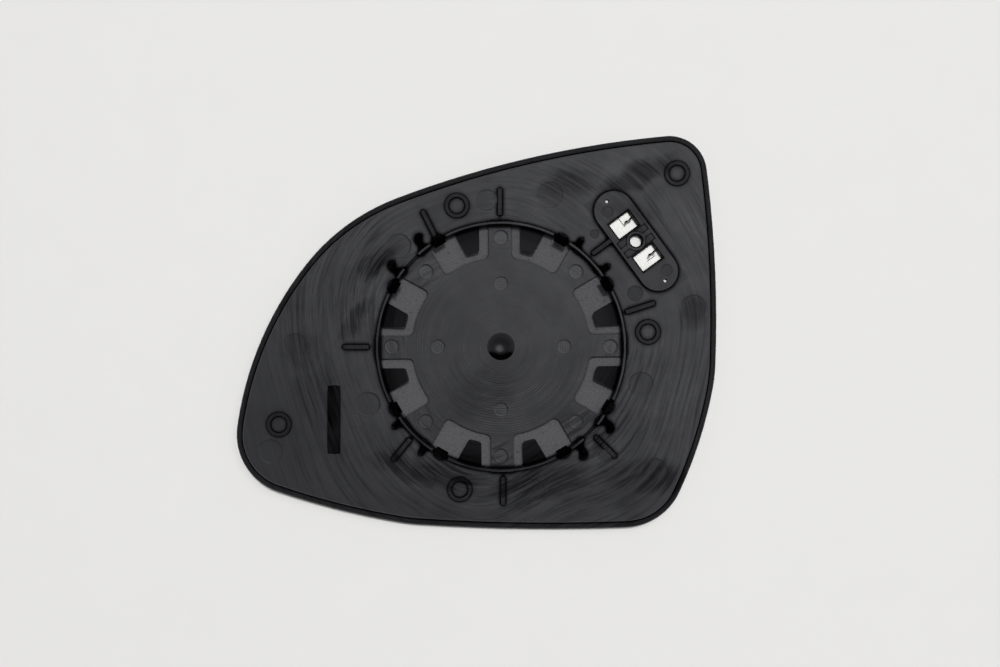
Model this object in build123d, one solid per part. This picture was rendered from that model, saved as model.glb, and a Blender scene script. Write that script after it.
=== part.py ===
"""Heated glass unit of a car door mirror, right hand, lying face down.

Millimetres. The origin is on the axis of the clip ring, on the back of the carrier plate.
+Z points out of the back, towards the mirror motor. +X is the tall side, -X the narrow side.
Every layer is a shell of spheres that share one centre, so the layers seat face to face.
"""
import math
import os

from build123d import *

# Outline of the carrier in back view, as reaches from the clip ring axis
reach_right = 78.2
reach_left = 96.1
reach_top = 76.6
reach_bottom = 65.8

# Corner rounds of the outline, with their places inside the reaches
upper_corner_radius = 13.7
upper_corner_inset = 17.0
shoulder_radius = 75.9
shoulder_inset = 8.9
shoulder_drop = 17.6
narrow_corner_radius = 21.8
narrow_corner_rise = 33.8
belly_radius = 70.0
belly_x = -25.2
belly_rise = 0.8
lower_corner_radius = 22.0
lower_corner_inset = 33.2
flank_radius = 60.0
flank_y = -4.3

# Shallow side arcs between those rounds, anticlockwise from the upper corner
top_side_radius = 363.0
narrow_side_radius = 121.0
left_bottom_side_radius = 279.0
right_bottom_side_radius = 683.0
lower_right_side_radius = 156.0
upper_right_side_radius = 417.0

# Layers, from the convex front of the glass backwards
mirror_radius = 1400.0
glass_thickness = 2.0
glass_edge_chamfer = 0.4
heater_thickness = 0.4
plate_thickness = 2.5

# Rim of the carrier, which wraps the edge of the glass
flange_width = 2.3
flange_step = 1.0
plate_edge_chamfer = 0.45
rim_wall = 1.2
rim_chamfer = 0.6
rim_second_chamfer = 0.25
groove_width = 0.5
groove_depth = 0.6
rim_setback = 0.4
glass_clearance = 0.15
heater_inset = 1.5

# Clip ring that snaps over the round plate of the motor
ring_radius = 44.3
ring_turn = 0.6
ring_wall = 0.9
ring_lean = 0.2
ring_height = 5.5
sill_height = 1.0
block_width = 8.0
block_thickness = 1.3
block_proud = 0.3
block_height = 5.8
block_lead_in = 1.0

# Snap hooks on the ring, on both sides of each cross arm
hook_angle = 30.0
hook_width = 4.6
hook_height = 8.0
hook_post = 1.4
hook_reach = 1.7
hook_catch_height = 5.0
hook_catch_slope = 0.3
hook_nose_height = 0.8
hook_gap = 0.8
buttress_width = 2.8
buttress_reach = 1.2
buttress_height = 4.5

# Windows under the hooks and the spring fingers that stand in them
arm_width = 8.0
window_inner_radius = 32.3
window_ledge = 0.3
window_hook_side = 4.5
window_corner_radius = 2.0
finger_arm_gap = 3.5
finger_hook_side = 6.4
finger_tip_radius = 35.4
finger_thickness = 1.3
finger_rise = 2.4
finger_tip_chamfer = 0.5
finger_corner_chamfer = 0.5

# Ball socket at the pivot
socket_radius = 5.1
socket_depth = 1.8

# Wire hooks beside the two gaps in the ring, and buttresses where the ring is closed
wire_hook_diagonals = (136.5, 316.5)
wire_hook_spread = (-8.3, 7.7)
wire_hook_wall = 1.2
wire_hook_stem = 5.1
wire_hook_curl = 1.9
wire_hook_lip = 1.2
wire_hook_bend = 0.75
wire_hook_height = 5.0
gap_half_angle = 4.8
buttress_diagonals = (45.0, 225.0)
buttress_spread = 8.0
ring_buttress_reach = 4.7
ring_buttress_toe = 1.4
ring_buttress_wall = 1.2
ring_buttress_height = 4.2
foot_width = 2.8
foot_thickness = 1.5
foot_shift = 1.5

# Draft of the low ribs and rings on the back
draft_angle = 14.0

# Low ribs round the ring: angle on the ring, direction, gap to the ring and length
rib_width = 1.9
rib_height = 1.2
ribs = (
    (90.5, 90.0, 2.4, 10.2),
    (120.9, 116.5, 1.3, 10.9),
    (180.2, 180.0, 2.7, 9.8),
    (225.5, 230.7, 1.7, 10.4),
    (270.9, 270.0, 2.1, 10.5),
    (316.3, 315.0, 2.0, 11.0),
    (15.4, 17.8, 1.7, 11.5),
)

# Raised rings on the back, as centres
boss_outer_radius = 4.5
boss_inner_radius = 3.0
boss_height = 0.8
corner_boss_shift = (2.7, 0.0)
narrow_boss_shift = (-6.4, 3.7)
inner_bosses = ((-16.1, 51.3), (53.5, 5.3), (-15.0, -52.0))

# Plain raised bar near the narrow end
bar_x = -60.8
bar_y = -26.6
bar_width = 4.4
bar_length = 24.6
bar_height = 0.4

# Terminal pad, centred on its locating hole
pad_x = 49.1
pad_y = 38.4
pad_direction = -53.7
pad_centres = 27.2
pad_end_radius = 7.5
pad_height = 1.6
collar_wall = 1.3
collar_web = 1.5
pocket_depth = 0.35
pocket_margin = 1.2
locating_hole_radius = 2.1
locating_hole_flare = 0.35
locating_hole_flare_depth = 1.5
vent_hole_radius = 0.7
vent_hole_spacing = 35.8
pad_rib_length = 8.3
pad_rib_shift = -5.6
terminal_window_width = 8.7
terminal_window_shift = -0.15
terminal_window_length = 6.6
terminal_window_spacing = 14.7
terminal_window_chamfer = 0.4
hole_clearance = 0.3

# Heater terminals: a foot on the heater and an upright blade
terminal_clearance = 0.15
terminal_thickness = 0.5
blade_width = 2.8
blade_thickness = 0.8
blade_height = 6.5
blade_side_gap = 0.35
blade_offset = -0.4

# Radii of the shared spheres, and the height of their centre
glass_front = mirror_radius
glass_back = glass_front - glass_thickness
heater_back = glass_back - heater_thickness
plate_back = heater_back - plate_thickness
flange_back = plate_back + flange_step
rim_front = glass_front - rim_setback
centre_height = plate_back

# Height inside the plate from which the ring and all that stands beside it rises
ring_root = centre_height - math.sqrt((plate_back + plate_thickness / 2) ** 2 - ring_radius**2)

# A length that passes every solid, for cutting tools
beyond = 2 * (reach_left + reach_right)
deep = 3 * (plate_thickness + heater_thickness + glass_thickness + hook_height)


def ball(radius):
    """Solid ball on the shared centre, turned so that its poles lie outside the part."""
    return Pos(0, 0, centre_height) * Rot(90, 0, 0) * Sphere(radius)


def layer(face, back, front):
    """Part of a plan face between two of the shared spheres."""
    prism = extrude(Pos(0, 0, -deep / 2) * face, amount=deep)
    return prism & ball(front) - ball(back)


def on_sphere(x, y, radius, direction=0.0):
    """Plane on a shared sphere at x, y, facing out of the back, with its x axis turned to a direction."""
    z = centre_height - math.sqrt(radius**2 - x**2 - y**2)
    turn = math.radians(direction)
    return Plane(
        origin=(x, y, z),
        x_dir=(math.cos(turn), math.sin(turn), 0),
        z_dir=(-x, -y, centre_height - z),
    )


def polar(radius, angle):
    """Point in plan at a radius and an angle in degrees."""
    return Vector(radius, 0).rotate(Axis.Z, angle)


def half_plane(direction, offset):
    """Large rectangle on the left of a line with a direction, shifted to its left by an offset."""
    return Rot(0, 0, direction) * Pos(0, offset + beyond / 2) * Rectangle(2 * beyond, beyond)


def eightfold(shape):
    """Copies of a shape beside each cross arm, on both sides of the arm."""
    pair = (shape, mirror(shape, about=Plane.XZ))
    return [Rot(0, 0, ring_turn + 90 * turn) * side for turn in range(4) for side in pair]


def side_arc_centre(first, second, radius):
    """Centre of an arc that both corner circles touch from inside, on the left of first to second."""
    start, end = Vector(*first[0]), Vector(*second[0])
    along = end - start
    reach_first = radius - first[1]
    reach_second = radius - second[1]
    run = (reach_first**2 - reach_second**2 + along.length**2) / (2 * along.length)
    rise = math.sqrt(reach_first**2 - run**2)
    unit = along.normalized()
    return start + unit * run + unit.rotate(Axis.Z, 90) * rise


def outline_corners():
    """Corner circles of the outline as centre and radius, anticlockwise, with the side arc after each."""
    return [
        (
            (reach_right - upper_corner_inset, reach_top - upper_corner_radius),
            upper_corner_radius,
            top_side_radius,
        ),
        (
            (
                -reach_left + shoulder_inset + shoulder_radius,
                reach_top - shoulder_drop - shoulder_radius,
            ),
            shoulder_radius,
            narrow_side_radius,
        ),
        (
            (-reach_left + narrow_corner_radius, -reach_bottom + narrow_corner_rise),
            narrow_corner_radius,
            left_bottom_side_radius,
        ),
        (
            (belly_x, -reach_bottom + belly_rise + belly_radius),
            belly_radius,
            right_bottom_side_radius,
        ),
        (
            (reach_right - lower_corner_inset, -reach_bottom + lower_corner_radius),
            lower_corner_radius,
            lower_right_side_radius,
        ),
        (
            (reach_right - flank_radius, flank_y),
            flank_radius,
            upper_right_side_radius,
        ),
    ]


def outline(inset):
    """Plan face of the outline, moved inwards by an inset."""
    corners = [
        (centre, radius - inset, side_radius - inset)
        for centre, radius, side_radius in outline_corners()
    ]
    count = len(corners)
    sides = [
        side_arc_centre(corners[i], corners[(i + 1) % count], corners[i][2]) for i in range(count)
    ]
    edges = []
    for i, (centre, radius, side_radius) in enumerate(corners):
        middle = Vector(*centre)
        start = (middle - sides[i - 1]).normalized()
        end = (middle - sides[i]).normalized()
        begin = middle + start * radius
        finish = middle + end * radius
        edges.append(ThreePointArc(begin, middle + (start + end).normalized() * radius, finish))
        following = corners[(i + 1) % count]
        beyond_end = (Vector(*following[0]) - sides[i]).normalized()
        bulge = sides[i] + (end + beyond_end).normalized() * side_radius
        edges.append(ThreePointArc(finish, bulge, sides[i] + beyond_end * side_radius))
    return make_face(edges)


def edges_on(solid, radius):
    """Edges of a solid that lie on one of the shared spheres."""
    centre = Vector(0, 0, centre_height)
    slack = 0.01
    return [
        edge
        for edge in solid.edges()
        if all(abs((edge @ place - centre).length - radius) < slack for place in (0, 0.5, 1))
    ]


def mirror_glass():
    """Convex glass with a chamfer round its front, mirrored on its back."""
    glass = layer(outline(rim_wall + glass_clearance), glass_back, glass_front)
    return chamfer(edges_on(glass, glass_front), glass_edge_chamfer)


def pad_place():
    """Plan location of the terminal pad, with its long axis along local x."""
    return Pos(pad_x, pad_y) * Rot(0, 0, pad_direction)


def pad_holes():
    """Locating hole and two vents of the terminal pad, as plan locations and radii."""
    along = ((0, locating_hole_radius), (-vent_hole_spacing / 2, vent_hole_radius))
    along += ((vent_hole_spacing / 2, vent_hole_radius),)
    return [(pad_place() * Pos(x, 0), radius) for x, radius in along]


def heater_pad():
    """Thin heater film between the glass and the carrier, with square openings under the pad's holes."""
    face = outline(rim_wall + glass_clearance + heater_inset)
    for place, radius in pad_holes():
        side = 2 * (radius + hole_clearance)
        face -= place * Rectangle(side, side)
    return layer(face, heater_back, glass_back)


def rim_and_plate():
    """Stepped carrier plate with a chamfered rim that wraps the glass, and a groove at the foot of the step."""
    shell = layer(outline(0), flange_back, rim_front)
    for size in (rim_chamfer, rim_second_chamfer):
        shell = chamfer(edges_on(shell, flange_back), size)
    shell -= layer(outline(rim_wall), heater_back, rim_front + glass_thickness)
    shell -= layer(outline(flange_width - groove_width), plate_back, flange_back + groove_depth)
    plate = layer(outline(flange_width), plate_back, heater_back)
    plate = chamfer(edges_on(plate, plate_back), plate_edge_chamfer)
    return shell + plate


def upright(face, height):
    """Plan face drawn up from inside the plate to a height above its back at the axis."""
    return extrude(Pos(0, 0, ring_root) * face, amount=height - ring_root)


def radial_rib(profile, width):
    """Rib of a width along +X from a profile of radius and height."""
    return extrude(make_face(Plane.XZ * profile), amount=width / 2, both=True)


def ring_block(angle, shift, width, thickness, height):
    """Straight block of wall on the ring, shifted along it from an angle, with a lead-in slope."""
    outside = ring_radius + ring_wall + block_proud
    inside = outside - thickness
    profile = Polyline(
        (inside, ring_root),
        (inside, height - block_lead_in),
        (outside, height),
        (outside, ring_root),
        close=True,
    )
    return Rot(0, 0, angle) * Pos(0, shift, 0) * radial_rib(profile, width)


def clip_ring():
    """Ring wall, slit beside each hook and lowered to a sill in the two gaps."""
    profile = Polyline(
        (ring_radius, ring_root),
        (ring_radius, 0),
        (ring_radius + ring_lean, ring_height),
        (ring_radius + ring_wall, ring_height),
        (ring_radius + ring_wall, ring_root),
        close=True,
    )
    ring = revolve(make_face(Plane.XZ * profile), Axis.Z)
    slot = Box(ring_radius, hook_width + 2 * hook_gap, deep, align=(Align.CENTER, Align.CENTER, Align.MIN))
    slot = Rot(0, 0, hook_angle) * Pos(ring_radius, 0, sill_height) * slot
    gap_width = 2 * ring_radius * math.sin(math.radians(gap_half_angle))
    gap = Box(ring_radius, gap_width, deep, align=(Align.CENTER, Align.CENTER, Align.MIN))
    gaps = [Rot(0, 0, angle) * Pos(ring_radius, 0, sill_height) * gap for angle in wire_hook_diagonals]
    blocks = [
        ring_block(ring_turn + 90 * turn, 0, block_width, block_thickness, block_height)
        for turn in range(4)
    ]
    return ring - eightfold(slot) - gaps + blocks


def snap_hook():
    """One hook: a post with an inward nose, and a buttress behind it."""
    back = ring_radius + hook_post
    nose = ring_radius - hook_reach
    nose_foot = hook_catch_height + hook_catch_slope
    post = Polyline(
        (ring_radius, ring_root),
        (ring_radius, hook_catch_height),
        (nose, nose_foot),
        (nose, nose_foot + hook_nose_height),
        (ring_radius, hook_height),
        (back, hook_height),
        (back, ring_root),
        close=True,
    )
    buttress = Polyline(
        (ring_radius, ring_root),
        (ring_radius, buttress_height),
        (back, buttress_height),
        (back + buttress_reach, 0),
        (back + buttress_reach, ring_root),
        close=True,
    )
    return Rot(0, 0, hook_angle) * (radial_rib(post, hook_width) + radial_rib(buttress, buttress_width))


def window():
    """Plan face of one window, between a cross arm and the far side of the hook beside it."""
    face = Circle(ring_radius - window_ledge) - Circle(window_inner_radius)
    face &= half_plane(0, arm_width / 2)
    face &= half_plane(hook_angle + 180, -window_hook_side)
    face &= half_plane(-90, 0)
    return fillet(face.vertices().sort_by(SortBy.DISTANCE)[:2], window_corner_radius)


def finger():
    """Spring finger that leans inwards and up from the foot of the ring."""
    direction = hook_angle / 2
    root = ring_radius + ring_wall / 2
    tip = finger_tip_radius
    foot = sill_height
    profile = Polyline(
        (root, foot),
        (tip + finger_tip_chamfer, foot + finger_rise),
        (tip, foot + finger_rise - finger_tip_chamfer),
        (tip, foot + finger_rise - finger_thickness),
        (root, foot - finger_thickness),
        close=True,
    )
    plan = half_plane(0, arm_width / 2 + finger_arm_gap)
    plan &= half_plane(hook_angle + 180, finger_hook_side)
    plan &= half_plane(direction - 90, tip)
    corners = plan.vertices().sort_by(Axis((0, 0, 0), polar(1, direction)))[:2]
    plan = chamfer(corners, finger_corner_chamfer)
    tongue = Rot(0, 0, direction) * radial_rib(profile, 2 * ring_radius)
    return tongue & extrude(plan, amount=deep, both=True)


def wire_hook(angle):
    """J-shaped hook that stands outside the ring and curls clockwise, to hold a wire."""
    start = ring_radius + ring_wall / 2
    end = ring_radius + ring_wall + wire_hook_stem
    path = FilletPolyline(
        (start, 0),
        (end, 0),
        (end, -wire_hook_curl),
        (end - wire_hook_lip, -wire_hook_curl),
        radius=wire_hook_bend,
    )
    face = trace(path, line_width=wire_hook_wall)
    return upright(Rot(0, 0, angle) * face, wire_hook_height)


def ring_foot(diagonal, spread):
    """Thicker stretch of the ring wall, beside a wire hook or buttress on its diagonal side."""
    shift = -math.copysign(foot_shift, spread)
    return ring_block(diagonal + spread, shift, foot_width, foot_thickness, ring_height)


def ring_buttress(angle):
    """Short upright rib against the outside of the ring, sloping at its end."""
    end = ring_radius + ring_wall + ring_buttress_reach
    profile = Polyline(
        (ring_radius, ring_root),
        (ring_radius, ring_buttress_height),
        (end - ring_buttress_toe, ring_buttress_height),
        (end, 0),
        (end, ring_root),
        close=True,
    )
    return Rot(0, 0, angle) * radial_rib(profile, ring_buttress_wall)


def drafted(plane, face, height):
    """Raised feature with drafted sides on a plane at the plate's back, sunk to root in the plate."""
    root = plate_thickness / 2
    slope = math.tan(math.radians(draft_angle))
    foot = offset(face, root * slope, kind=Kind.INTERSECTION)
    top = offset(face, -height * slope, kind=Kind.INTERSECTION)
    return plane * loft([Pos(0, 0, -root) * foot, Pos(0, 0, height) * top], ruled=True)


def rib(ring_angle, direction, gap, length):
    """Low rib that points away from the ring."""
    start = polar(ring_radius + ring_wall + gap, ring_angle)
    middle = start + polar(length / 2, direction)
    plane = on_sphere(middle.X, middle.Y, plate_back, direction)
    return drafted(plane, Rectangle(length, rib_width), rib_height)


def boss(x, y):
    """Raised ring on the back of the plate."""
    lean = boss_height * math.tan(math.radians(draft_angle))
    root = plate_thickness / 2
    profile = Polyline(
        (boss_inner_radius, -root),
        (boss_inner_radius, 0),
        (boss_inner_radius + lean, boss_height),
        (boss_outer_radius - lean, boss_height),
        (boss_outer_radius, 0),
        (boss_outer_radius, -root),
        close=True,
    )
    return on_sphere(x, y, plate_back) * revolve(make_face(Plane.XZ * profile), Axis.Z)


def boss_centres():
    """Places of the raised rings: two follow their corners of the outline."""
    corners = outline_corners()
    upper = Vector(*corners[0][0]) + Vector(*corner_boss_shift)
    narrow = Vector(*corners[2][0]) + Vector(*narrow_boss_shift)
    return [(upper.X, upper.Y), (narrow.X, narrow.Y), *inner_bosses]


def terminal_pad():
    """Raised stadium on the back that frames the two terminals, and the rib that ties it to the plate."""
    plane = on_sphere(pad_x, pad_y, plate_back, pad_direction)
    stadium = SlotCenterToCenter(pad_centres, 2 * pad_end_radius)
    rib_middle = -pad_end_radius - pad_rib_length / 2 + rib_width / 2
    side = Pos(pad_rib_shift, rib_middle) * Rectangle(rib_width, pad_rib_length + rib_width)
    return drafted(plane, stadium, pad_height) + drafted(plane, side, rib_height)


def pad_pockets():
    """Shallow pockets in the pad on both sides of the hole's collar and its cross web."""
    plane = on_sphere(pad_x, pad_y, plate_back, pad_direction)
    length = terminal_window_spacing - terminal_window_length - pocket_margin
    face = Rectangle(length, 2 * (pad_end_radius - pocket_margin))
    face -= Circle(locating_hole_radius + collar_wall)
    face -= Rectangle(collar_web, 2 * pad_end_radius)
    return plane * extrude(Pos(0, 0, pad_height - pocket_depth) * face, amount=deep)


def terminal_places():
    """Plan locations of the two terminal windows."""
    half = terminal_window_spacing / 2
    return [pad_place() * Pos(side * half, terminal_window_shift) for side in (-1, 1)]


def terminal_window_bevel(side):
    """Tool that bevels the rim of one terminal window at the top of the pad."""
    plane = on_sphere(pad_x, pad_y, plate_back, pad_direction)
    face = Rectangle(terminal_window_length, terminal_window_width)
    face = Pos(side * terminal_window_spacing / 2, terminal_window_shift) * face
    inner = offset(face, -terminal_window_chamfer, kind=Kind.INTERSECTION)
    outer = offset(face, 2 * terminal_window_chamfer, kind=Kind.INTERSECTION)
    low = Pos(0, 0, pad_height - 2 * terminal_window_chamfer) * inner
    high = Pos(0, 0, pad_height + terminal_window_chamfer) * outer
    return plane * loft([low, high], ruled=True)


def locating_hole_flare_tool():
    """Tool that widens the locating hole towards the top of the pad."""
    top = on_sphere(pad_x, pad_y, plate_back).origin.Z + pad_height
    profile = Polyline(
        (0, top - locating_hole_flare_depth),
        (locating_hole_radius, top - locating_hole_flare_depth),
        (locating_hole_radius + 2 * locating_hole_flare, top + locating_hole_flare_depth),
        (0, top + locating_hole_flare_depth),
        close=True,
    )
    return Pos(pad_x, pad_y) * revolve(make_face(Plane.XZ * profile), Axis.Z)


def plate_cuts():
    """Tools for the star of windows, the ball socket and the openings of the terminal pad."""
    terminal_window = Rectangle(terminal_window_length, terminal_window_width)
    faces = eightfold(window()) + [place * Circle(radius) for place, radius in pad_holes()]
    faces += [place * terminal_window for place in terminal_places()]
    socket_ball = (socket_radius**2 + socket_depth**2) / (2 * socket_depth)
    socket = Pos(0, 0, socket_ball - socket_depth) * Rot(90, 0, 0) * Sphere(socket_ball)
    bevels = [terminal_window_bevel(side) for side in (-1, 1)]
    straight = [extrude(face, amount=deep, both=True) for face in faces]
    return [socket, pad_pockets(), locating_hole_flare_tool(), *bevels, *straight]


def ring_features():
    """Everything that stands on the clip ring: hooks, fingers, wire hooks, buttresses and feet."""
    features = eightfold(snap_hook()) + eightfold(finger())
    for diagonal in wire_hook_diagonals:
        for spread in wire_hook_spread:
            features += [wire_hook(diagonal + spread), ring_foot(diagonal, spread)]
    for diagonal in buttress_diagonals:
        for spread in (-buttress_spread, buttress_spread):
            features += [ring_buttress(diagonal + spread), ring_foot(diagonal, spread)]
    return features


def carrier_plate():
    """One moulding: plate, rim, clip ring with hooks and fingers, ribs and terminal pad."""
    raised = [rib(*values) for values in ribs]
    raised += [boss(x, y) for x, y in boss_centres()]
    bar_plane = on_sphere(bar_x, bar_y, plate_back, 90)
    raised.append(drafted(bar_plane, SlotOverall(bar_length, bar_width), bar_height))
    plate = rim_and_plate() + terminal_pad() + raised - plate_cuts()
    ring = clip_ring() + ring_features()
    return plate + ring


def heater_terminal(place):
    """Foot that lies on the heater inside its window, with an upright blade at one side."""
    width = terminal_window_width - 2 * terminal_clearance
    length = terminal_window_length - 2 * terminal_clearance
    foot = layer(place * Rectangle(length, width), heater_back - terminal_thickness, heater_back)
    blade_middle = width / 2 - blade_side_gap - blade_width / 2
    face = place * Pos(blade_offset, blade_middle) * Rectangle(blade_thickness, blade_width)
    blade = layer(face, heater_back - blade_height, heater_back)
    return foot + blade


def main():
    """Write one solid per piece."""
    os.makedirs("parts", exist_ok=True)
    upper, lower = terminal_places()
    pieces = {
        "carrier_plate": carrier_plate(),
        "heater_pad": heater_pad(),
        "mirror_glass": mirror_glass(),
        "terminal_upper": heater_terminal(upper),
        "terminal_lower": heater_terminal(lower),
    }
    for name, solid in pieces.items():
        export_step(solid, f"parts/{name}.step")


main()
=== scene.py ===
"""Looks of a heated car door mirror glass unit, lying face down, laid out as a Blender add-on."""
import math

import bmesh
import bpy
from bpy.props import FloatProperty, FloatVectorProperty, PointerProperty
from bpy.types import Operator, Panel, PropertyGroup
from mathutils import Matrix, Vector


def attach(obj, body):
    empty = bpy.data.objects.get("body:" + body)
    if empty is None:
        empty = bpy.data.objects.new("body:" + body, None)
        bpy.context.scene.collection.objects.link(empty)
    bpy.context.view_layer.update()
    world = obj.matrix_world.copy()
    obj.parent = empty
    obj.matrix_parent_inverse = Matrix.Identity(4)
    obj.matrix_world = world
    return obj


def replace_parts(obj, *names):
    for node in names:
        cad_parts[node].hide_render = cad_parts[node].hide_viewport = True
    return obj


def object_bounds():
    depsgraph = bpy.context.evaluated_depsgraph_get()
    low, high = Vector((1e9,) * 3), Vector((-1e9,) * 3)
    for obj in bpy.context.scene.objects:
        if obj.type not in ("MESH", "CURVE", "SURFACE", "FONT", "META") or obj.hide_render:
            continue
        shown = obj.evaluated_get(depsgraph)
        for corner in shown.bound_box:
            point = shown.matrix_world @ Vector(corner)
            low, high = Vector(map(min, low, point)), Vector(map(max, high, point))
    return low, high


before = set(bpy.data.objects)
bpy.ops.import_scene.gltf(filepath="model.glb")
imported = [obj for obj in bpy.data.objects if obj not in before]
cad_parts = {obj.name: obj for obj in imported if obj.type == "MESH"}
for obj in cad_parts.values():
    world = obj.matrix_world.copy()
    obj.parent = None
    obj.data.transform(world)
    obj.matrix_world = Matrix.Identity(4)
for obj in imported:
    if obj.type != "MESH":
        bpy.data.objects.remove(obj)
cad_box = [list(corner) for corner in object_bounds()]

bl_info = {
    "name": "Door mirror glass",
    "version": (1, 0, 0),
    "blender": (4, 5, 0),
    "location": "3D View > Sidebar > Mirror",
    "description": "Finishes, moulding marks, terminals and stage of a door mirror glass unit",
    "category": "Object",
}

# Shared spheres of the unit: height of their centre, depths of heater and glass under the plate
SPHERE = 1.3951
HEATER_DEPTH = 0.0025
GLASS_BACK = 0.0029

# Terminal pad: centre, turn, height, half sizes of the whole and of its dull middle, hole and vents
PAD = (0.0491, 0.0384)
PAD_TURN = math.radians(-53.7)
PAD_HEIGHT = 0.0016
PAD_HALF = (0.022, 0.0076)
PAD_MIDDLE = (0.0118, 0.0072)
PAD_HOLE = 0.0026
VENT_ALONG = 0.0179
VENT_RADIUS = 0.0007

# Terminal windows of the pad, in millimetres: place along and across it, half sizes of their frames
WINDOW_ALONG = 7.35
WINDOW_ACROSS = -0.15
WINDOW_FRAME = (3.85, 4.9)

# Clip ring: radii of its wall, height of its top and of its sill, reach and heights of the fingers
RING_RADII = (0.0442, 0.0454)
RING_TOP = 0.0055
SILL_HEIGHTS = (0.0002, 0.0006)
FINGER_RADII = (0.034, 0.0442)
FINGER_HEIGHTS = (0.0005, 0.003)

# Heights over which low and tall forms turn rougher and take painted shade, and the width of a
# form's soft edge
LOW_HEIGHTS = (0.0003, 0.0008)
TALL_HEIGHTS = (0.0019, 0.0031)
SOFT = 0.0001

# Rim outside the groove: its fall below the domed back, and radii beyond which it lies
FLANGE_FALL = (-0.0005, -0.0008)
FLANGE_RADII = (0.045, 0.05)

# Star: radii over which turning rings take the place of the plate's strokes
STAR_RADII = (0.036, 0.031)

# Ball socket: depth, radius, radii over which its edge darkens with painted shade, and the y values
# over which painted shade sets in on its side towards negative y
SOCKET_DEPTH = (-0.00005, -0.00015)
SOCKET_RADIUS = 0.0052
SOCKET_RIM_SHADE = (0.0018, 0.0042)
SOCKET_LOW_SHADE = (-0.0009, -0.0029)

# Rough raised bar near the narrow end: centre and half sizes
BAR = (-0.0608, -0.0266)
BAR_HALF = (0.0023, 0.0124)

# Round marks of the ejector pins on the plate, in millimetres: x, y and radius
PLATE_MARKS = (
    (-37.2, 36.7, 4.4),
    (-5.1, 53.5, 3.7),
    (-74.8, 0.5, 4.3),
    (-48.5, -21.0, 4.4),
    (-83.6, -38.1, 4.4),
    (-28.1, -48.0, 4.4),
    (11.7, -52.7, 4.4),
    (51.1, -13.7, 4.4),
    (56.2, -45.1, 4.4),
    (70.1, 14.4, 4.4),
    (17.9, 55.3, 4.7),
    (-30.8, -57.1, 0.8),
)

# Dull marks of thin pins on the plate, in the same way
DULL_MARKS = (
    (34.1, 41.1, 1.5),
    (38.0, -39.6, 2.3),
    (48.9, 19.4, 2.7),
)

# Pin marks on the terminal pad, in millimetres along and across it, with their radius
PAD_MARKS = (
    (-14.7, -2.0, 1.95),
    (15.1, 2.8, 2.0),
)

# Polished pin marks on the star, at these distances along its arms and diagonals, in millimetres
STAR_MARKS = ((0, 23.0), (0, 39.8), (45, 38.6))
STAR_MARK_RADIUS = 2.55

# Pin marks: share of the height by which the middle is sunk, and least angle of a sharp edge
MARK_DISH = 0.3
MARK_SHARP = math.radians(2)

# Wear: its growth for each metre across the plate, and the values over which it sets in
WEAR_SLOPE = (-0.6, -1.6, 0)
WEAR_BAND = (0.35, 0.65)

# Greasy smudges, in millimetres: x, y, half length, half width, then turn in degrees and strength
SMUDGES = (
    (-28.0, -45.5, 25.0, 7.0, -4, 1.0),
    (16.0, -50.5, 22.0, 9.0, 4, 1.0),
    (52.0, -45.7, 20.0, 8.0, 0, 1.0),
    (-45.5, 29.7, 8.0, 4.0, 40, 1.0),
    (-51.0, 9.7, 9.0, 4.0, 75, 0.9),
    (-72.0, 0.5, 12.0, 9.0, 60, 0.45),
    (-66.7, -16.0, 16.0, 11.0, 80, 0.6),
    (49.2, 63.2, 14.0, 5.0, 12, 1.0),
    (24.0, 60.4, 15.0, 6.0, 10, 0.7),
    (69.6, 14.8, 7.0, 6.0, 90, 0.7),
    (38.0, -33.0, 11.0, 2.0, 45, 0.8),
    (-6.0, -16.0, 18.0, 10.0, 20, 0.45),
)

# Roughness of the plastic: floor of the strokes, what each kind of mark adds, and its least value
STROKE_FLOOR = -0.06
STROKE_ROUGH = 0.3
WORN_ROUGH = 0.6
SMUDGE_ROUGH = 0.18
CLOUD_ROUGH = 0.3
CORNER_ROUGH = 0.6
LEAST_ROUGH = 0.2

# Shares of the plastic's shine that smudges and strokes take away, and that painted shade takes
# away in sheltered corners
SMUDGE_DULL = 0.4
STROKE_DULL = 1.5
CORNER_SHADE = 0.95

# Heater terminals, in millimetres from the middle of their window, along and across the pad
FORK = (-0.4, 2.45)
FOOT_RIBS = (-3.7, -2.8, -2.0, -1.1)
TERMINALS = {
    "terminal_upper": {"side": -1, "lap": (-1.95, 2.1, 2.3, 3.9), "lip": (-1.7, 0.1, 2.8, 0.2)},
    "terminal_lower": {"side": 1, "lap": (2.2, 1.0, 1.9, 3.4), "lip": (1.05, 1.1, 0.25, 3.6)},
}

# Thickness of their foot and of a prong, width of a rib, and rise of rib, lap and lip over the foot
FOOT = 0.5
PRONG = 0.7
RIB_WIDTH = 0.14
RIB_RISE = 0.06
LAP_RISE = 0.15
LIP_RISE = 0.4

# Share of the foot's length that a rib takes, and share of the fork's height that its web takes
RIB_SHARE = 0.94
WEB_SHARE = 0.8

# Heights over the plate, in metres, over which the tin is painted dark as shade on the fork and the
# lip
TIN_SHADE_HEIGHTS = (-0.00178, -0.0017)

# Depths into the glass over which the mirror takes the place of the pale coat
COAT_DEPTHS = (0.0003, 0.0008)

# Stage: half size of the floor, places of lamps and camera, sensor width, fade of the low walls
FLOOR_HALF = 6.0
KEY_PLACE = (0.06, 0.2, 0.97)
SOFTBOX_PLACE = (0.18, 0.25, 1.2)
CAMERA_OVER = (-0.000365, 0.004745)
SENSOR_WIDTH = 36
WALL_RISE = (0.8, 0.45)


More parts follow.
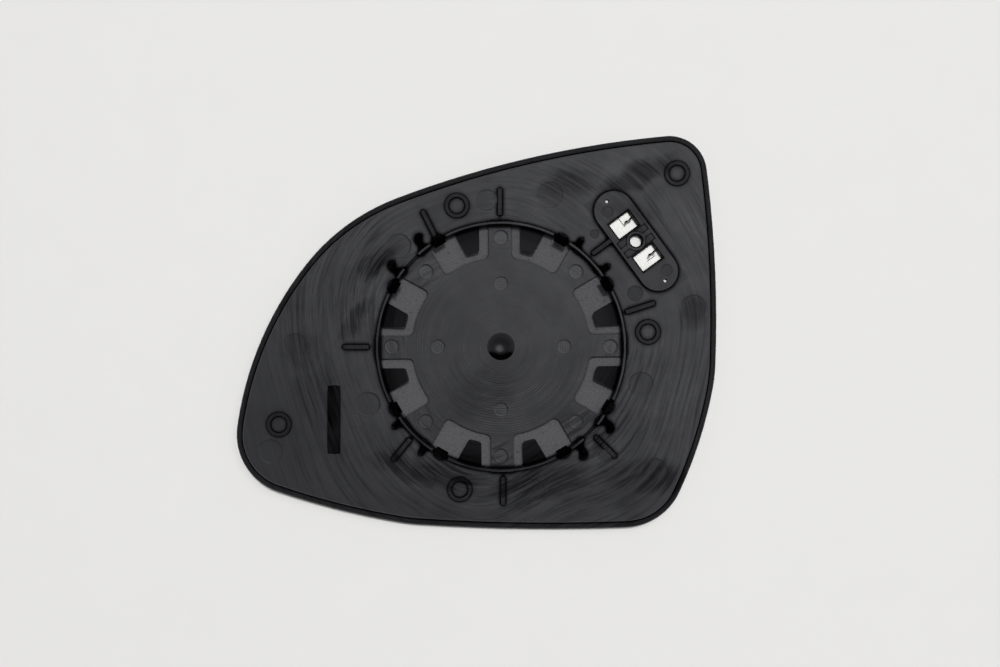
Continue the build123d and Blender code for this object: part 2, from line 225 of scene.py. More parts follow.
class MirrorFinish(PropertyGroup):
    """Colours and gloss of the unit."""

    plastic: FloatVectorProperty(
        name="Plastic", description="Colour of the black moulding",
        subtype="COLOR", size=3, min=0, max=1, default=(0.004, 0.004, 0.005),
    )
    plastic_gloss: FloatProperty(
        name="Plastic roughness", description="Mean roughness of the black moulding",
        subtype="FACTOR", min=0, max=1, default=0.32,
    )
    film: FloatVectorProperty(
        name="Heater film", description="Colour of the heater film in the windows",
        subtype="COLOR", size=3, min=0, max=1, default=(0.078, 0.078, 0.084),
    )
    tin: FloatVectorProperty(
        name="Tin", description="Colour of the tinned terminals",
        subtype="COLOR", size=3, min=0, max=1, default=(0.93, 0.925, 0.9),
    )
    mirror: FloatVectorProperty(
        name="Mirror", description="Colour of the mirrored glass",
        subtype="COLOR", size=3, min=0, max=1, default=(0.8, 0.82, 0.83),
    )
    backing: FloatVectorProperty(
        name="Backing", description="Colour of the coat on the back of the glass",
        subtype="COLOR", size=3, min=0, max=1, default=(0.86, 0.86, 0.85),
    )


class MirrorMarks(PropertyGroup):
    """Sizes of the marks that the mould leaves."""

    rise: FloatProperty(
        name="Mark height", description="Height of a pin mark over the plate",
        unit="LENGTH", subtype="DISTANCE", min=0, max=0.0005, default=0.0001,
    )
    edge: FloatProperty(
        name="Mark edge", description="Width of the sloping edge of a pin mark",
        unit="LENGTH", subtype="DISTANCE", min=0, max=0.001, default=0.0004,
    )


class MirrorTerminals(PropertyGroup):
    """Sizes of the heater terminals."""

    foot_length: FloatProperty(
        name="Foot length", description="Size of the foot along the pad",
        unit="LENGTH", subtype="DISTANCE", min=0.001, max=0.02, default=0.0063,
    )
    foot_width: FloatProperty(
        name="Foot width", description="Size of the foot across the pad",
        unit="LENGTH", subtype="DISTANCE", min=0.001, max=0.02, default=0.0084,
    )
    fork_width: FloatProperty(
        name="Fork width", description="Width of the upright fork",
        unit="LENGTH", subtype="DISTANCE", min=0.001, max=0.01, default=0.0028,
    )
    fork_height: FloatProperty(
        name="Fork height", description="Height of the fork over the heater",
        unit="LENGTH", subtype="DISTANCE", min=0.001, max=0.02, default=0.0064,
    )


class MirrorStage(PropertyGroup):
    """Floor, light and camera."""

    floor: FloatVectorProperty(
        name="Floor", description="Colour of the floor",
        subtype="COLOR", size=3, min=0, max=1, default=(0.78, 0.775, 0.765),
    )
    key: FloatProperty(
        name="Key", description="Strength of the steep key light", min=0, max=10, default=2.2,
    )
    key_angle: FloatProperty(
        name="Key softness", description="Angle that the key light fills",
        subtype="ANGLE", min=0, max=math.pi, default=math.radians(6),
    )
    softbox: FloatProperty(
        name="Softbox", description="Power of the softbox that the plastic mirrors",
        unit="POWER", min=0, max=100, default=3.55,
    )
    softbox_size: FloatProperty(
        name="Softbox size", description="Diameter of the softbox",
        unit="LENGTH", subtype="DISTANCE", min=0.1, max=5, default=0.8,
    )
    fill: FloatProperty(
        name="Fill", description="Strength of the even light from all round",
        min=0, max=2, default=0.15,
    )
    sheen: FloatProperty(
        name="Sheen", description="Strength of the low walls that shiny pieces mirror",
        min=0, max=2, default=1.0,
    )
    backdrop: FloatProperty(
        name="Backdrop", description="Brightness of the walls behind the floor",
        min=0, max=1, default=0.8,
    )
    camera_height: FloatProperty(
        name="Camera height", description="Height of the camera over the plate",
        unit="LENGTH", subtype="DISTANCE", min=0.1, max=5, default=0.608,
    )
    lens: FloatProperty(
        name="Lens", description="Focal length in millimetres", min=10, max=300, default=60,
    )


def add(tree, kind, inputs, **settings):
    """New node with its settings, each input given as a value or as the socket that feeds it."""
    node = tree.nodes.new(kind)
    for key, value in settings.items():
        setattr(node, key, value)
    for key, value in inputs.items():
        if isinstance(value, bpy.types.NodeSocket):
            tree.links.new(value, node.inputs[key])
        else:
            node.inputs[key].default_value = value
    return node


def calc(tree, operation, first, second=0.0):
    """Output of a math node."""
    return add(tree, "ShaderNodeMath", {0: first, 1: second}, operation=operation).outputs[0]


def vector_calc(tree, operation, first, second=(0, 0, 0)):
    """Vector output of a vector math node."""
    return add(tree, "ShaderNodeVectorMath", {0: first, 1: second}, operation=operation).outputs[0]


def noise(tree, vector, scale, detail=2.0, roughness=0.5):
    """Noise value on a vector."""
    inputs = {"Vector": vector, "Scale": scale, "Detail": detail, "Roughness": roughness}
    return add(tree, "ShaderNodeTexNoise", inputs).outputs[0]


def remap(tree, value, low, high, to_low=0.0, to_high=1.0):
    """Value taken smoothly from one range to another."""
    inputs = {"Value": value, 1: low, 2: high, 3: to_low, 4: to_high}
    return add(tree, "ShaderNodeMapRange", inputs, interpolation_type="SMOOTHSTEP").outputs[0]


def blend(tree, factor, first, second):
    """Colour between two colours."""
    inputs = {0: factor, 6: first, 7: second}
    return add(tree, "ShaderNodeMix", inputs, data_type="RGBA").outputs[2]


def rgba(colour, gain=1.0):
    """Colour property as four numbers, made lighter or darker by a gain."""
    return (*(min(1.0, part * gain) for part in colour), 1.0)


def new_material(name):
    """Empty material with its shader, and the Object coordinates of the piece."""
    material = bpy.data.materials.new(name)
    material.use_nodes = True
    tree = material.node_tree
    shader = tree.nodes["Principled BSDF"]
    coordinates = tree.nodes.new("ShaderNodeTexCoord").outputs["Object"]
    return material, tree, shader, coordinates


def round_strokes(tree, flat, along, across):
    """Strokes round the ring's axis, by cells per radian and per metre out, and the radius."""
    radius = add(tree, "ShaderNodeVectorMath", {0: flat}, operation="LENGTH").outputs["Value"]
    inputs = {0: vector_calc(tree, "NORMALIZE", flat), "Scale": along}
    turned = add(tree, "ShaderNodeVectorMath", inputs, operation="SCALE").outputs[0]
    inputs = {"Z": calc(tree, "MULTIPLY", radius, across)}
    level = add(tree, "ShaderNodeCombineXYZ", inputs).outputs[0]
    drawn_out = vector_calc(tree, "ADD", turned, level)
    return noise(tree, drawn_out, scale=1.0, detail=4.0, roughness=0.75), radius


def patch(tree, coordinates, place, turn, half_sizes):
    """One inside a rectangle on the plate, zero outside, with a soft edge."""
    inputs = {"Vector": coordinates, "Location": (*place, 0), "Rotation": (0, 0, turn)}
    local = add(tree, "ShaderNodeMapping", inputs, vector_type="TEXTURE").outputs[0]
    sides = add(tree, "ShaderNodeSeparateXYZ", {0: vector_calc(tree, "ABSOLUTE", local)}).outputs
    inside = [remap(tree, side, half + SOFT, half - SOFT) for side, half in zip(sides, half_sizes)]
    return calc(tree, "MULTIPLY", *inside)


def multiply_add(tree, value, factor, term):
    """Value times a factor plus a term."""
    inputs = {0: value, 1: factor, 2: term}
    return add(tree, "ShaderNodeMath", inputs, operation="MULTIPLY_ADD").outputs[0]


def plate_height(tree, coordinates, flat):
    """Height of a point over the domed back of the plate."""
    inputs = {0: flat, 1: flat}
    squared = add(tree, "ShaderNodeVectorMath", inputs, operation="DOT_PRODUCT").outputs["Value"]
    level = add(tree, "ShaderNodeSeparateXYZ", {0: coordinates}).outputs["Z"]
    return multiply_add(tree, squared, -0.5 / SPHERE, level)


def between(tree, value, low, high, soft):
    """One where a value lies between two limits, zero outside, with soft edges."""
    over = remap(tree, value, low - soft, low)
    under = remap(tree, value, high + soft, high)
    return calc(tree, "MULTIPLY", over, under)


def drifted(tree, flat, scale, detail, reach):
    """Flat coordinates pushed about by noise, by up to a reach."""
    inputs = {"Vector": flat, "Scale": scale, "Detail": detail}
    drift = add(tree, "ShaderNodeTexNoise", inputs).outputs["Color"]
    drift = vector_calc(tree, "SUBTRACT", drift, (0.5, 0.5, 0.5))
    drift = vector_calc(tree, "MULTIPLY", drift, (2 * reach, 2 * reach, 0))
    return vector_calc(tree, "ADD", flat, drift)


def mould_marks(tree, flat):
    """Polishing strokes and turning rings as one height, the strokes alone, and the radius."""
    wandering = drifted(tree, flat, scale=16.0, detail=0.0, reach=0.012)
    strokes, _ = round_strokes(tree, wandering, along=2.4, across=900.0)
    scrapes, radius = round_strokes(tree, flat, along=0.5, across=900.0)
    inputs = {"Vector": flat, "Scale": 340.0, "Distortion": 0.8, "Detail": 1.0}
    wave = add(tree, "ShaderNodeTexWave", inputs, wave_type="RINGS", rings_direction="SPHERICAL")
    rings = wave.outputs["Fac"]
    turning = multiply_add(tree, rings, 0.1, multiply_add(tree, scrapes, 0.35, 0.275))
    inputs = {0: remap(tree, radius, *STAR_RADII), 2: strokes, 3: turning}
    marks = add(tree, "ShaderNodeMix", inputs, data_type="FLOAT").outputs[0]
    return marks, strokes, radius


def smudge_mask(tree, flat, strokes):
    """Greasy smudges at their places, and faint ones all over, with ragged edges and streaks."""
    ragged = drifted(tree, flat, scale=40.0, detail=4.0, reach=0.01)
    aside = vector_calc(tree, "ADD", flat, (0.31, 0.17, 0))
    faint = noise(tree, aside, scale=20.0, detail=3.0, roughness=0.6)
    mask = remap(tree, faint, 0.5, 0.8, to_high=0.6)
    broken = remap(tree, strokes, 0.3, 0.6, to_low=0.3)
    for x, y, length, width, degrees, strength in SMUDGES:
        inputs = {
            "Vector": ragged,
            "Location": (x / 1000, y / 1000, 0),
            "Rotation": (0, 0, math.radians(degrees)),
            "Scale": (length / 1000, width / 1000, 1),
        }
        local = add(tree, "ShaderNodeMapping", inputs, vector_type="TEXTURE").outputs[0]
        reach = add(tree, "ShaderNodeVectorMath", {0: local}, operation="LENGTH").outputs["Value"]
        spot = calc(tree, "MULTIPLY", remap(tree, reach, 1.15, 0.4, to_high=strength), broken)
        mask = calc(tree, "MAXIMUM", mask, spot)
    return mask


def pad_hole(tree, flat):
    """One inside the locating hole of the pad, zero outside; the hole is painted dark as shade."""
    inputs = {0: flat, 1: (*PAD, 0)}
    reach = add(tree, "ShaderNodeVectorMath", inputs, operation="DISTANCE").outputs["Value"]
    return remap(tree, reach, PAD_HOLE + SOFT, PAD_HOLE)


def window_frame_shade(tree, coordinates):
    """One on the frames round the two terminal windows, where painted shade goes, zero outside."""
    total = 0.0
    turned = Matrix.Rotation(PAD_TURN, 2)
    for side in (-1, 1):
        middle = Vector(PAD) + turned @ Vector((side * WINDOW_ALONG, WINDOW_ACROSS)) / 1000
        half_sizes = [half / 1000 for half in WINDOW_FRAME]
        window = patch(tree, coordinates, middle, PAD_TURN, half_sizes)
        total = calc(tree, "MAXIMUM", window, total)
    return total


def occlusion_shade_mask(tree, distance, open_to, shut_to):
    """One in the sheltered corners within a distance, zero in the open: where painted shade goes.
    """
    inputs = {"Distance": distance}
    nook = add(tree, "ShaderNodeAmbientOcclusion", inputs, samples=8, only_local=True)
    return remap(tree, nook.outputs["AO"], open_to, shut_to)


def form_roughness_and_shade(tree, coordinates, height, radius, flange):
    """Roughness that each form adds to the plate's own, and the share of shine that it loses, which
    on most forms is painted shade.
    """
    pad = patch(tree, coordinates, PAD, PAD_TURN, PAD_HALF)
    off_pad = calc(tree, "SUBTRACT", 1.0, pad)
    low = calc(tree, "MULTIPLY", remap(tree, height, *LOW_HEIGHTS), off_pad)
    axes = add(tree, "ShaderNodeSeparateXYZ", {0: coordinates}).outputs
    wall = between(tree, radius, *RING_RADII, SOFT)
    crest = between(tree, axes["Z"], RING_TOP - SOFT / 2, RING_TOP + SOFT / 2, SOFT / 2)
    ring_top = calc(tree, "MULTIPLY", wall, crest)
    sill = calc(tree, "MULTIPLY", wall, between(tree, height, *SILL_HEIGHTS, SOFT))
    inner = between(tree, radius, *FINGER_RADII, SOFT)
    fingers = calc(tree, "MULTIPLY", inner, between(tree, height, *FINGER_HEIGHTS, 3 * SOFT))
    others = calc(tree, "SUBTRACT", 1.0, calc(tree, "MAXIMUM", ring_top, fingers))
    low = calc(tree, "MULTIPLY", low, others)
    tall = calc(tree, "MULTIPLY", remap(tree, height, *TALL_HEIGHTS), others)
    socket = remap(tree, radius, SOCKET_RADIUS + SOFT, SOCKET_RADIUS)
    socket = calc(tree, "MULTIPLY", socket, remap(tree, height, *SOCKET_DEPTH))
    # Painted shade on the socket's outer edge and on its side towards negative y
    edge = calc(tree, "MULTIPLY", socket, remap(tree, radius, *SOCKET_RIM_SHADE))
    socket_low_shade = calc(tree, "MULTIPLY", socket, remap(tree, axes["Y"], *SOCKET_LOW_SHADE))
    bar = patch(tree, coordinates, BAR, 0.0, BAR_HALF)
    frame_shade = window_frame_shade(tree, coordinates)
    middle = patch(tree, coordinates, PAD, PAD_TURN, PAD_MIDDLE)
    # Mask of each form, roughness that it adds and share of the shine that it loses; on the low and
    # tall forms, ring top, fingers, sill, rim, window frames and the socket's edge and low side
    # that loss is painted shade
    forms = (
        (low, 0.12, 0.35),
        (tall, 0.2, 0.65),
        (ring_top, 0.0, 0.25),
        (fingers, 0.14, 0.5),
        (sill, 0.2, 0.6),
        (flange, 0.06, 0.44),
        (bar, 0.3, 0.65),
        (frame_shade, 0.15, 0.55),
        (middle, 0.02, 0.05),
        (pad, 0.03, 0.08),
        (socket, -0.03, 0.0),
        (edge, 0.0, 0.5),
        (socket_low_shade, 0.0, 0.6),
    )
    rough = 0.0
    lost_shine_and_painted_shade = 0.0
    for mask, rougher, lost_shine in forms:
        rough = multiply_add(tree, mask, rougher, rough)
        lost_shine_and_painted_shade = multiply_add(tree, mask, lost_shine, lost_shine_and_painted_shade)
    return rough, lost_shine_and_painted_shade


def plastic_material(finish, name, gloss_shift=0.0):
    """Black moulding with strokes, turning marks on the star and smudges, with painted shade on
    raised forms and in corners.
    """
    material, tree, shader, coordinates = new_material(name)
    flat = vector_calc(tree, "MULTIPLY", coordinates, (1, 1, 0))
    marks, strokes, radius = mould_marks(tree, flat)
    smudges = smudge_mask(tree, flat, strokes)
    inputs = {0: flat, 1: WEAR_SLOPE}
    slope = add(tree, "ShaderNodeVectorMath", inputs, operation="DOT_PRODUCT").outputs["Value"]
    worn = calc(tree, "ADD", noise(tree, flat, scale=16.0, detail=2.0), slope)
    patches = remap(tree, worn, *WEAR_BAND)
    clouds = noise(tree, flat, scale=55.0, detail=6.0, roughness=0.68)
    grain = noise(tree, coordinates, scale=2600.0, detail=2.0)
    height = plate_height(tree, coordinates, flat)
    outside = remap(tree, radius, *FLANGE_RADII)
    flange = calc(tree, "MULTIPLY", remap(tree, height, *FLANGE_FALL), outside)
    # Painted shade: sheltered corners, the pad's locating hole and the rim beside the groove are
    # made darker and lose their shine, as shade falls there
    nook_shade = occlusion_shade_mask(tree, distance=0.002, open_to=0.95, shut_to=0.6)
    painted_corner_shade = calc(tree, "MAXIMUM", nook_shade, pad_hole(tree, flat))
    # Painted shadow of the plate's step on the rim, fading outwards from the groove
    groove_shadow = occlusion_shade_mask(tree, distance=0.004, open_to=1.0, shut_to=0.7)
    painted_corner_shade = calc(tree, "MAXIMUM", painted_corner_shade, calc(tree, "MULTIPLY", flange, groove_shadow))
    dull, lost_shine_and_painted_shade = form_roughness_and_shade(tree, coordinates, height, radius, flange)

    rough = multiply_add(tree, smudges, SMUDGE_ROUGH, finish.plastic_gloss + gloss_shift)
    streaks = calc(tree, "MAXIMUM", calc(tree, "SUBTRACT", marks, 0.5), STROKE_FLOOR)
    share = multiply_add(tree, patches, WORN_ROUGH, STROKE_ROUGH)
    rough = multiply_add(tree, streaks, share, rough)
    rough = multiply_add(tree, calc(tree, "SUBTRACT", clouds, 0.5), CLOUD_ROUGH, rough)
    rough = calc(tree, "MAXIMUM", calc(tree, "ADD", rough, dull), LEAST_ROUGH)
    rough = multiply_add(tree, painted_corner_shade, CORNER_ROUGH, rough)
    tree.links.new(rough, shader.inputs["Roughness"])

    # Shine is taken away by a metal of nearly no colour: for smudges and strokes this dulls them,
    # in corners and on raised forms it is painted shade
    lost_shine_and_painted_shade = multiply_add(tree, smudges, SMUDGE_DULL, lost_shine_and_painted_shade)
    lost_shine_and_painted_shade = multiply_add(tree, calc(tree, "MULTIPLY", streaks, patches), STROKE_DULL, lost_shine_and_painted_shade)
    lost_shine_and_painted_shade = calc(tree, "MAXIMUM", lost_shine_and_painted_shade, calc(tree, "MULTIPLY", painted_corner_shade, CORNER_SHADE))
    tree.links.new(calc(tree, "MINIMUM", lost_shine_and_painted_shade, 1.0), shader.inputs["Metallic"])
    tint = blend(tree, smudges, rgba(finish.plastic, 1.1), rgba(finish.plastic, 0.75))
    tint = blend(tree, lost_shine_and_painted_shade, tint, rgba(finish.plastic, 0.2))
    tree.links.new(tint, shader.inputs["Base Color"])

    relief = multiply_add(tree, marks, 0.1, calc(tree, "MULTIPLY", grain, 0.5))
    bump = add(tree, "ShaderNodeBump", {"Height": relief, "Strength": 0.2, "Distance": 0.00003})
    tree.links.new(bump.outputs[0], shader.inputs["Normal"])
    shader.inputs["IOR"].default_value = 1.5
    shader.inputs["Specular Tint"].default_value = (0.94, 0.95, 1.0, 1.0)
    return material


def film_material(finish):
    """Grey heater film with fine specks and a soft mottle, with painted shade at the foot of the
    window walls.
    """
    material, tree, shader, coordinates = new_material("film")
    specks = noise(tree, coordinates, scale=700.0, detail=2.0, roughness=0.6)
    mottle = noise(tree, coordinates, scale=90.0, detail=3.0)
    grain = noise(tree, coordinates, scale=1500.0, detail=2.0, roughness=0.7)
    grain = remap(tree, grain, 0.3, 0.7)
    shade = multiply_add(tree, grain, 0.6, calc(tree, "MULTIPLY", mottle, 0.4))
    base = blend(tree, shade, rgba(finish.film, 0.7), rgba(finish.film, 1.3))
    base = blend(tree, remap(tree, specks, 0.63, 0.73), base, rgba(finish.film, 0.55))
    # Painted shade: the film is darkened near the window walls, where shade falls
    foot = add(tree, "ShaderNodeAmbientOcclusion", {"Distance": 0.0012}, samples=6).outputs["AO"]
    base = blend(tree, remap(tree, foot, 0.78, 0.55), base, rgba(finish.film, 0.15))
    tree.links.new(base, shader.inputs["Base Color"])
    rough = remap(tree, mottle, 0.3, 0.7, to_low=0.66, to_high=0.74)
    tree.links.new(rough, shader.inputs["Roughness"])
    bump = add(tree, "ShaderNodeBump", {"Height": mottle, "Strength": 0.2, "Distance": 0.00005})
    tree.links.new(bump.outputs[0], shader.inputs["Normal"])
    return material


def tin_material(finish):
    """Pale tinned sheet with rolling lines and dull spots, painted dark as shade on the fork and
    upright edges.
    """
    material, tree, shader, coordinates = new_material("tinned_sheet")
    inputs = {"Vector": coordinates, "Rotation": (0, 0, -PAD_TURN), "Scale": (400, 4000, 400)}
    rolled = add(tree, "ShaderNodeMapping", inputs).outputs[0]
    lines = noise(tree, rolled, scale=1.0, detail=2.0)
    spots = noise(tree, coordinates, scale=600.0, detail=2.0)
    pale = blend(tree, spots, rgba(finish.tin, 0.94), rgba(finish.tin, 1.04))
    flat = vector_calc(tree, "MULTIPLY", coordinates, (1, 1, 0))
    # Painted shade: the fork and the raised lip are near black, standing in for their shadow
    upright = remap(tree, plate_height(tree, coordinates, flat), *TIN_SHADE_HEIGHTS)
    base = blend(tree, upright, pale, rgba(finish.tin, 0.004))
    tree.links.new(base, shader.inputs["Base Color"])
    rough = remap(tree, lines, 0.3, 0.7, to_low=0.42, to_high=0.56)
    rough = multiply_add(tree, upright, 0.4, rough)
    tree.links.new(rough, shader.inputs["Roughness"])
    bump = add(tree, "ShaderNodeBump", {"Height": lines, "Strength": 0.15, "Distance": 0.00003})
    tree.links.new(bump.outputs[0], shader.inputs["Normal"])
    return material


def mirror_material(finish):
    """Mirrored glass with faint wiping smears, under a pale coat on its back."""
    material, tree, shader, coordinates = new_material("mirrored_glass")
    smears = noise(tree, coordinates, scale=35.0, detail=3.0)
    inputs = {0: coordinates, 1: (0, 0, SPHERE)}
    depth = add(tree, "ShaderNodeVectorMath", inputs, operation="DISTANCE").outputs["Value"]
    front = remap(tree, depth, *(SPHERE + GLASS_BACK + further for further in COAT_DEPTHS))
    silver = blend(tree, smears, rgba(finish.mirror, 0.97), rgba(finish.mirror, 1.02))
    cloud = noise(tree, coordinates, scale=500.0, detail=2.0)
    coat = blend(tree, cloud, rgba(finish.backing, 0.95), rgba(finish.backing, 1.03))
    tree.links.new(blend(tree, front, coat, silver), shader.inputs["Base Color"])
    polish = remap(tree, smears, 0.45, 0.75, to_low=0.02, to_high=0.08)
    inputs = {0: front, 2: 0.55, 3: polish}
    rough = add(tree, "ShaderNodeMix", inputs, data_type="FLOAT").outputs[0]
    tree.links.new(rough, shader.inputs["Roughness"])
    tree.links.new(front, shader.inputs["Metallic"])
    return material


def floor_material(stage):
    """Plain pale floor with a faint even grain."""
    material, tree, shader, coordinates = new_material("floor")
    grain = noise(tree, coordinates, scale=60.0, detail=3.0)
    base = blend(tree, grain, rgba(stage.floor, 0.99), rgba(stage.floor, 1.01))
    tree.links.new(base, shader.inputs["Base Color"])
    shader.inputs["Roughness"].default_value = 0.85
    shader.inputs["Specular IOR Level"].default_value = 0.2
    return material


def on_plate(x, y, depth=0.0, turn=0.0):
    """Frame on the back of the plate, or at a depth under it, with its Z axis out of the back."""
    radius = SPHERE + depth
    z = SPHERE - math.sqrt(radius**2 - x**2 - y**2)
    upright = Vector((0, 0, 1)).rotation_difference(Vector((-x, -y, SPHERE - z)))
    place = Matrix.Translation((x, y, z)) @ upright.to_matrix().to_4x4()
    return place @ Matrix.Rotation(turn, 4, "Z")


def add_piece(name, bm, material, smooth=math.radians(30)):
    """Mesh object that rides with the unit, its doubles merged and its faces turned outwards."""
    bmesh.ops.remove_doubles(bm, verts=bm.verts, dist=1e-7)
    bmesh.ops.recalc_face_normals(bm, faces=bm.faces)
    for edge in bm.edges:
        edge.smooth = edge.calc_face_angle(math.pi) < smooth
    for face in bm.faces:
        face.smooth = True
    mesh = bpy.data.meshes.new(name)
    bm.to_mesh(mesh)
    bm.free()
    mesh.materials.append(material)
    piece = bpy.data.objects.new(name, mesh)
    bpy.context.scene.collection.objects.link(piece)
    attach(piece, "root")
    return piece


def pin_mark(bm, place, radius, sizes):
    """Low round mark with a raised rim, half sunk in what carries it."""
    verts, faces = set(bm.verts), set(bm.faces)
    bmesh.ops.create_cone(
        bm, cap_ends=True, segments=64,
        radius1=radius + sizes.edge, radius2=radius, depth=2 * sizes.rise,
    )
    bm.normal_update()
    top = max(set(bm.faces) - faces, key=lambda face: face.calc_center_median().z)
    bmesh.ops.inset_region(bm, faces=[top], thickness=sizes.edge, depth=-MARK_DISH * sizes.rise)
    bmesh.ops.transform(bm, matrix=place, verts=list(set(bm.verts) - verts))


def marks_on_plate(bm, marks, sizes):
    """Pin marks at their places on the plate, given in millimetres."""
    for x, y, radius in marks:
        pin_mark(bm, on_plate(x / 1000, y / 1000), radius / 1000, sizes)


def block(bm, middle, size, bottom, height, corner):
    """Upright block on a rectangle of the window, given in millimetres, with bevelled edges."""
    edges = set(bm.edges)
    verts = bmesh.ops.create_cube(bm, size=0.001)["verts"]
    bmesh.ops.scale(bm, verts=verts, vec=(*size, height))
    bmesh.ops.translate(bm, verts=verts, vec=Vector((*middle, bottom + height / 2)) / 1000)
    sides = list(set(bm.edges) - edges)
    bmesh.ops.bevel(
        bm, geom=sides, offset=corner / 1000, affect="EDGES",
        segments=2, profile=0.5, material=-1,
    )


def terminal_shape(sizes, details):
    """Foot with pressed ribs, a lap, a turned-up lip, and an upright fork with a web."""
    bm = bmesh.new()
    length, width = sizes.foot_length * 1000, sizes.foot_width * 1000
    fork_width, fork_height = sizes.fork_width * 1000, sizes.fork_height * 1000
    sunk = FOOT / 2
    block(bm, (0, 0), (length, width), 0, FOOT, corner=0.08)
    for across in FOOT_RIBS:
        block(bm, (0, across), (RIB_SHARE * length, RIB_WIDTH), sunk, sunk + RIB_RISE, corner=0.03)
    block(bm, details["lap"][:2], details["lap"][2:], sunk, sunk + LAP_RISE, corner=0.06)
    block(bm, details["lip"][:2], details["lip"][2:], sunk, sunk + LIP_RISE, corner=0.05)
    for side in (-1, 1):
        middle = (FORK[0], FORK[1] + side * (fork_width - PRONG) / 2)
        block(bm, middle, (PRONG, PRONG), sunk, fork_height - sunk, corner=0.15)
    web = (PRONG / 2, fork_width - PRONG)
    block(bm, FORK, web, sunk, WEB_SHARE * fork_height, corner=0.08)
    return bm


def add_lamp(name, kind, place, strength):
    """Lamp at a place, turned towards the unit."""
    data = bpy.data.lights.new(name, kind)
    data.energy = strength
    lamp = bpy.data.objects.new(name, data)
    lamp.location = place
    lamp.rotation_euler = place.to_track_quat("Z", "Y").to_euler()
    bpy.context.scene.collection.objects.link(lamp)
    return lamp


def add_floor(stage):
    """Plain floor at the foot of the unit."""
    bm = bmesh.new()
    foot = Matrix.Translation((0, 0, cad_box[0][2]))
    bmesh.ops.create_grid(bm, x_segments=1, y_segments=1, size=FLOOR_HALF, matrix=foot)
    mesh = bpy.data.meshes.new("floor")
    bm.to_mesh(mesh)
    bm.free()
    mesh.materials.append(floor_material(stage))
    floor = bpy.data.objects.new("floor", mesh)
    bpy.context.scene.collection.objects.link(floor)


def studio_walls(stage):
    """World with an even fill, low walls that only shiny pieces mirror, and a pale backdrop."""
    world = bpy.data.worlds.new("studio")
    world.use_nodes = True
    tree = world.node_tree
    ray = tree.nodes.new("ShaderNodeLightPath").outputs
    heading = tree.nodes.new("ShaderNodeTexCoord").outputs["Generated"]
    rising = add(tree, "ShaderNodeSeparateXYZ", {0: heading}).outputs["Z"]
    walls = remap(tree, rising, *WALL_RISE, to_high=stage.sheen - stage.fill)
    seen = multiply_add(tree, ray["Is Glossy Ray"], walls, stage.fill)
    seen = multiply_add(tree, ray["Is Camera Ray"], stage.backdrop - stage.fill, seen)
    sky = tree.nodes["Background"].inputs
    sky["Color"].default_value = (1, 1, 1, 1)
    tree.links.new(seen, sky["Strength"])
    return world


def add_camera(stage):
    """Camera that looks straight down on the plate."""
    view = bpy.data.cameras.new("camera")
    view.lens = stage.lens
    view.sensor_width = SENSOR_WIDTH
    camera = bpy.data.objects.new("camera", view)
    camera.location = (*CAMERA_OVER, stage.camera_height)
    bpy.context.scene.collection.objects.link(camera)
    return camera


class MIRROR_OT_finishes(Operator):
    """Give each CAD piece its finish"""

    bl_idname = "mirror.finishes"
    bl_label = "Finishes"

    def execute(self, context):
        finish = context.scene.mirror_finish
        materials = {
            "carrier_plate": plastic_material(finish, "moulding"),
            "heater_pad": film_material(finish),
            "mirror_glass": mirror_material(finish),
        }
        for node, material in materials.items():
            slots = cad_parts[node].data.materials
            slots.clear()
            slots.append(material)
        return {"FINISHED"}


class MIRROR_OT_plate_marks(Operator):
    """Add the round pin marks on the plate and on the terminal pad"""

    bl_idname = "mirror.plate_marks"
    bl_label = "Plate marks"

    def execute(self, context):
        sizes = context.scene.mirror_marks
        bm = bmesh.new()
        marks_on_plate(bm, PLATE_MARKS, sizes)
        for along, across, radius in PAD_MARKS:
            spot = Matrix.Translation((along / 1000, across / 1000, PAD_HEIGHT))
            pin_mark(bm, on_plate(*PAD, turn=PAD_TURN) @ spot, radius / 1000, sizes)
        worn = plastic_material(context.scene.mirror_finish, "moulding_worn", gloss_shift=0.05)
        add_piece("pin_marks_plate", bm, worn, MARK_SHARP)
        return {"FINISHED"}


class MIRROR_OT_dull_marks(Operator):
    """Add the dull marks of thin pins on the plate"""

    bl_idname = "mirror.dull_marks"
    bl_label = "Dull marks"

    def execute(self, context):
        bm = bmesh.new()
        marks_on_plate(bm, DULL_MARKS, context.scene.mirror_marks)
        dull = plastic_material(context.scene.mirror_finish, "moulding_dull", gloss_shift=0.12)
        add_piece("pin_marks_dull", bm, dull, MARK_SHARP)
        return {"FINISHED"}


class MIRROR_OT_star_marks(Operator):
    """Add the polished pin marks on the star"""

    bl_idname = "mirror.star_marks"
    bl_label = "Star marks"

    def execute(self, context):
        sizes = context.scene.mirror_marks
        bm = bmesh.new()
        for quarter in range(4):
            for degrees, distance in STAR_MARKS:
                angle = math.radians(degrees + 90 * quarter)
                x, y = (distance / 1000 * part for part in (math.cos(angle), math.sin(angle)))
                pin_mark(bm, on_plate(x, y), STAR_MARK_RADIUS / 1000, sizes)
        finish = context.scene.mirror_finish
        polished = plastic_material(finish, "moulding_polished", gloss_shift=-0.07)
        add_piece("pin_marks_star", bm, polished, MARK_SHARP)
        return {"FINISHED"}


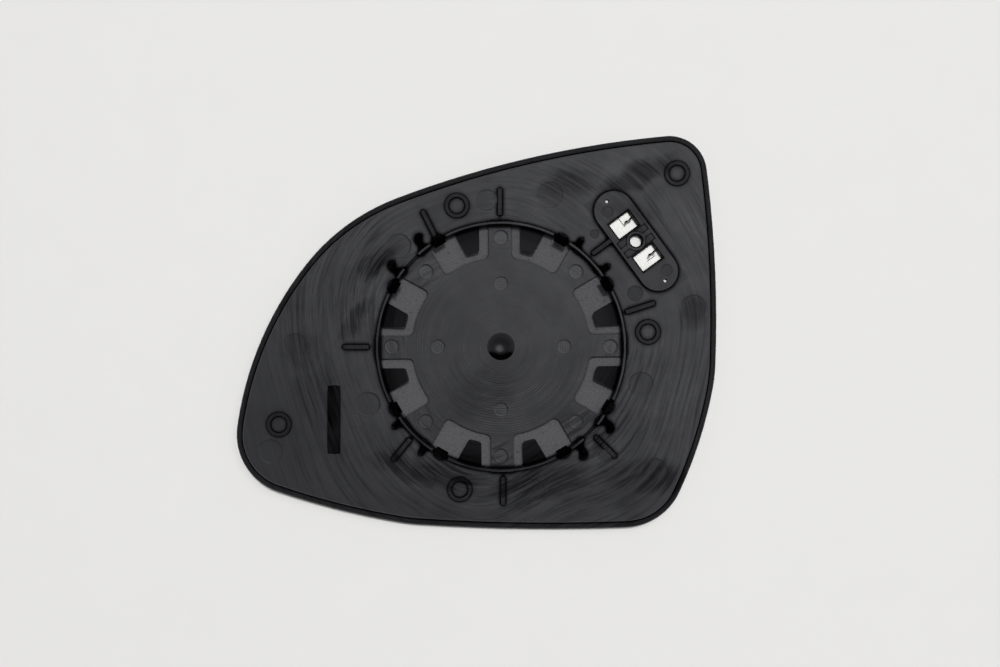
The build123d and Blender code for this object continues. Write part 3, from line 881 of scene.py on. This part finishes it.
class MIRROR_OT_terminals(Operator):
    """Build the two tinned heater terminals"""

    bl_idname = "mirror.terminals"
    bl_label = "Terminals"

    def execute(self, context):
        sizes = context.scene.mirror_terminals
        tin = tin_material(context.scene.mirror_finish)
        pad = Matrix.Translation((*PAD, 0)) @ Matrix.Rotation(PAD_TURN, 4, "Z")
        for name, details in TERMINALS.items():
            along = details["side"] * WINDOW_ALONG / 1000
            spot = pad @ Matrix.Translation((along, WINDOW_ACROSS / 1000, 0))
            place = on_plate(spot.translation.x, spot.translation.y, HEATER_DEPTH, PAD_TURN)
            bm = terminal_shape(sizes, details)
            bmesh.ops.transform(bm, matrix=place, verts=bm.verts)
            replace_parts(add_piece(name + "_tin", bm, tin), name)
        return {"FINISHED"}


class MIRROR_OT_vents(Operator):
    """Fill the foot of the pad's two vents with the pale backing"""

    bl_idname = "mirror.vents"
    bl_label = "Vents"

    def execute(self, context):
        bm = bmesh.new()
        for side in (-1, 1):
            foot = Matrix.Translation((side * VENT_ALONG, 0, -VENT_RADIUS))
            drop = Matrix.Diagonal((VENT_RADIUS, VENT_RADIUS, VENT_RADIUS / 2, 1))
            bmesh.ops.create_uvsphere(
                bm, u_segments=24, v_segments=12, radius=1.0,
                matrix=on_plate(*PAD, turn=PAD_TURN) @ foot @ drop,
            )
        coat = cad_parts["mirror_glass"].data.materials[0]
        add_piece("vent_backing", bm, coat)
        return {"FINISHED"}


class MIRROR_OT_stage(Operator):
    """Set up the floor, the light and the camera"""

    bl_idname = "mirror.stage"
    bl_label = "Stage"

    def execute(self, context):
        stage = context.scene.mirror_stage
        add_floor(stage)
        key = add_lamp("key", "SUN", Vector(KEY_PLACE), stage.key)
        key.data.angle = stage.key_angle
        key.visible_glossy = False
        softbox = add_lamp("softbox", "AREA", Vector(SOFTBOX_PLACE), stage.softbox)
        softbox.data.shape = "DISK"
        softbox.data.size = stage.softbox_size
        context.scene.world = studio_walls(stage)
        context.scene.camera = add_camera(stage)
        context.scene.view_settings.view_transform = "Standard"
        return {"FINISHED"}


STEPS = (
    MIRROR_OT_finishes,
    MIRROR_OT_plate_marks,
    MIRROR_OT_dull_marks,
    MIRROR_OT_star_marks,
    MIRROR_OT_terminals,
    MIRROR_OT_vents,
    MIRROR_OT_stage,
)
GROUPS = {
    "mirror_finish": MirrorFinish,
    "mirror_marks": MirrorMarks,
    "mirror_terminals": MirrorTerminals,
    "mirror_stage": MirrorStage,
}


class MIRROR_PT_panel(Panel):
    """Steps of the unit in the sidebar"""

    bl_label = "Door mirror glass"
    bl_idname = "MIRROR_PT_panel"
    bl_space_type = "VIEW_3D"
    bl_region_type = "UI"
    bl_category = "Mirror"

    def draw(self, context):
        for step in STEPS:
            self.layout.operator(step.bl_idname)
        for group in GROUPS:
            values = getattr(context.scene, group)
            box = self.layout.box()
            for key in values.__annotations__:
                box.prop(values, key)


def register():
    """Register the classes and attach the property groups to the scene."""
    for item in (*GROUPS.values(), *STEPS, MIRROR_PT_panel):
        bpy.utils.register_class(item)
    for name, group in GROUPS.items():
        setattr(bpy.types.Scene, name, PointerProperty(type=group))


def unregister():
    """Take everything that register added away again."""
    for name in GROUPS:
        delattr(bpy.types.Scene, name)
    for item in reversed((*GROUPS.values(), *STEPS, MIRROR_PT_panel)):
        bpy.utils.unregister_class(item)


def main():
    """Run every step in order."""
    register()
    bpy.ops.mirror.finishes()
    bpy.ops.mirror.plate_marks()
    bpy.ops.mirror.dull_marks()
    bpy.ops.mirror.star_marks()
    bpy.ops.mirror.terminals()
    bpy.ops.mirror.vents()
    bpy.ops.mirror.stage()


if __name__ == "__main__":
    main()
